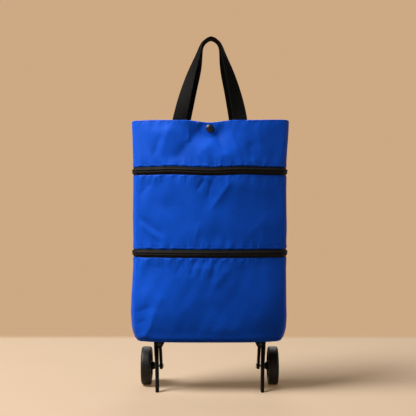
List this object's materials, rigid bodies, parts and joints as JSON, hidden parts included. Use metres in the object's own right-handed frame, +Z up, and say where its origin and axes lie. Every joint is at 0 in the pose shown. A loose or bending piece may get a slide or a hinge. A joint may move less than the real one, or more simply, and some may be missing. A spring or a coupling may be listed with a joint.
{
  "type": "folding shopping bag on wheels",
  "caption": "Upright fabric shopping bag in zipped sections with webbing handles, a press stud at the mouth and fold-away wheel arms with feet underneath.",
  "frame": {"origin": "middle of the footprint on the floor", "axes": "+Z up, -Y towards the front with the press stud, +X to the right as seen from the front"},
  "size_m": [0.281, 0.1318, 0.6365],
  "materials": {
    "blue_fabric": "fine plain weave polyester, slight sheen",
    "zip_tape": "woven zip tape",
    "zip_teeth": "satin nylon coil",
    "webbing": "ribbed webbing",
    "black_metal": "black enamel",
    "board": "matt",
    "black_plastic": "moulded, satin",
    "steel": "plated",
    "nylon": "natural nylon",
    "tyre": "matt rubber"
  },
  "bodies": {
    "lower_bag": {"bottom_panel": "blue_fabric", "lower_front_panel": "blue_fabric", "lower_back_panel": "blue_fabric", "lower_left_gusset": "blue_fabric", "lower_right_gusset": "blue_fabric", "lower_zip_lower_tape": "zip_tape", "lower_zip_lower_teeth": "zip_teeth", "lower_pleat": "blue_fabric", "base_board": "board", "left_hinge_bracket": "black_plastic", "left_hinge_pin": "black_metal", "left_hinge_clip": "steel", "left_hinge_washers": "nylon", "left_bracket_rivets": "steel", "right_hinge_bracket": "black_plastic", "right_hinge_pin": "black_metal", "right_hinge_clip": "steel", "right_hinge_washers": "nylon", "right_bracket_rivets": "steel"},
    "middle_bag": {"middle_front_panel": "blue_fabric", "middle_back_panel": "blue_fabric", "middle_left_gusset": "blue_fabric", "middle_right_gusset": "blue_fabric", "lower_zip_upper_tape": "zip_tape", "lower_zip_upper_teeth": "zip_teeth", "upper_zip_lower_tape": "zip_tape", "upper_zip_lower_teeth": "zip_teeth", "upper_pleat": "blue_fabric"},
    "upper_bag": {"upper_front_panel": "blue_fabric", "upper_back_panel": "blue_fabric", "upper_left_gusset": "blue_fabric", "upper_right_gusset": "blue_fabric", "upper_zip_upper_tape": "zip_tape", "upper_zip_upper_teeth": "zip_teeth", "front_handle_tabs": "webbing", "rear_handle_tabs": "webbing", "stud_front_cap": "black_metal", "stud_socket": "black_metal", "stud_post": "black_metal", "stud_rear_cap": "black_metal"},
    "front_loop": {"front_handle": "webbing"},
    "rear_loop": {"rear_handle": "webbing"},
    "lower_slider": {"lower_zip_slider": "black_metal"},
    "lower_pull": {"lower_zip_pull": "black_metal"},
    "upper_slider": {"upper_zip_slider": "black_metal"},
    "upper_pull": {"upper_zip_pull": "black_metal"},
    "left_arm": {"left_wheel_arm": "black_plastic", "left_wheel_axle": "steel", "left_axle_clip": "steel"},
    "left_wheel": {"left_wheel_tyre": "tyre", "left_wheel_rim": "black_plastic", "left_wheel_bush": "nylon", "left_wheel_cap": "black_plastic"},
    "right_arm": {"right_wheel_arm": "black_plastic", "right_wheel_axle": "steel", "right_axle_clip": "steel"},
    "right_wheel": {"right_wheel_tyre": "tyre", "right_wheel_rim": "black_plastic", "right_wheel_bush": "nylon", "right_wheel_cap": "black_plastic"}
  },
  "joints": [
    {"name": "lower_zip_lift", "type": "slide", "parent": "lower_bag", "child": "middle_bag", "axis": [0, 0, 1], "range_m": [0, 0.1], "deforming": ["lower_pleat"]},
    {"name": "upper_zip_lift", "type": "slide", "parent": "middle_bag", "child": "upper_bag", "axis": [0, 0, 1], "range_m": [0, 0.1], "deforming": ["upper_pleat"]},
    {"name": "front_handle_flop", "type": "hinge", "parent": "upper_bag", "child": "front_loop", "pos_m": [0, -0.04977, 0.4835], "axis": [1, 0, 0], "range_deg": [0, 100]},
    {"name": "rear_handle_flop", "type": "hinge", "parent": "upper_bag", "child": "rear_loop", "pos_m": [0, 0.03219, 0.4835], "axis": [-1, 0, 0], "range_deg": [0, 100]},
    {"name": "lower_slider_run", "type": "hinge", "parent": "lower_bag", "child": "lower_slider", "pos_m": [0, -0.35455, 0.247], "axis": [0, 0, -1], "range_deg": [0, 14]},
    {"name": "lower_pull_swing", "type": "hinge", "parent": "lower_slider", "child": "lower_pull", "pos_m": [0.01827, 0.05114, 0.247], "axis": [0.999, -0.045, 0], "range_deg": [0, 150]},
    {"name": "upper_slider_run", "type": "hinge", "parent": "middle_bag", "child": "upper_slider", "pos_m": [0, -0.35455, 0.392], "axis": [0, 0, -1], "range_deg": [0, 14]},
    {"name": "upper_pull_swing", "type": "hinge", "parent": "upper_slider", "child": "upper_pull", "pos_m": [0.01827, 0.05114, 0.392], "axis": [0.999, -0.045, 0], "range_deg": [0, 150]},
    {"name": "left_arm_fold", "type": "hinge", "parent": "lower_bag", "child": "left_arm", "pos_m": [-0.0905, -0.00105, 0.083], "axis": [0, -1, 0], "range_deg": [0, 90]},
    {"name": "left_wheel_spin", "type": "hinge", "parent": "left_arm", "child": "left_wheel", "pos_m": [-0.11655, 0.03095, 0.035], "axis": [1, 0, 0], "continuous": true},
    {"name": "right_arm_fold", "type": "hinge", "parent": "lower_bag", "child": "right_arm", "pos_m": [0.0905, -0.00105, 0.083], "axis": [0, 1, 0], "range_deg": [0, 90]},
    {"name": "right_wheel_spin", "type": "hinge", "parent": "right_arm", "child": "right_wheel", "pos_m": [0.11655, 0.03095, 0.035], "axis": [1, 0, 0], "continuous": true}
  ]
}
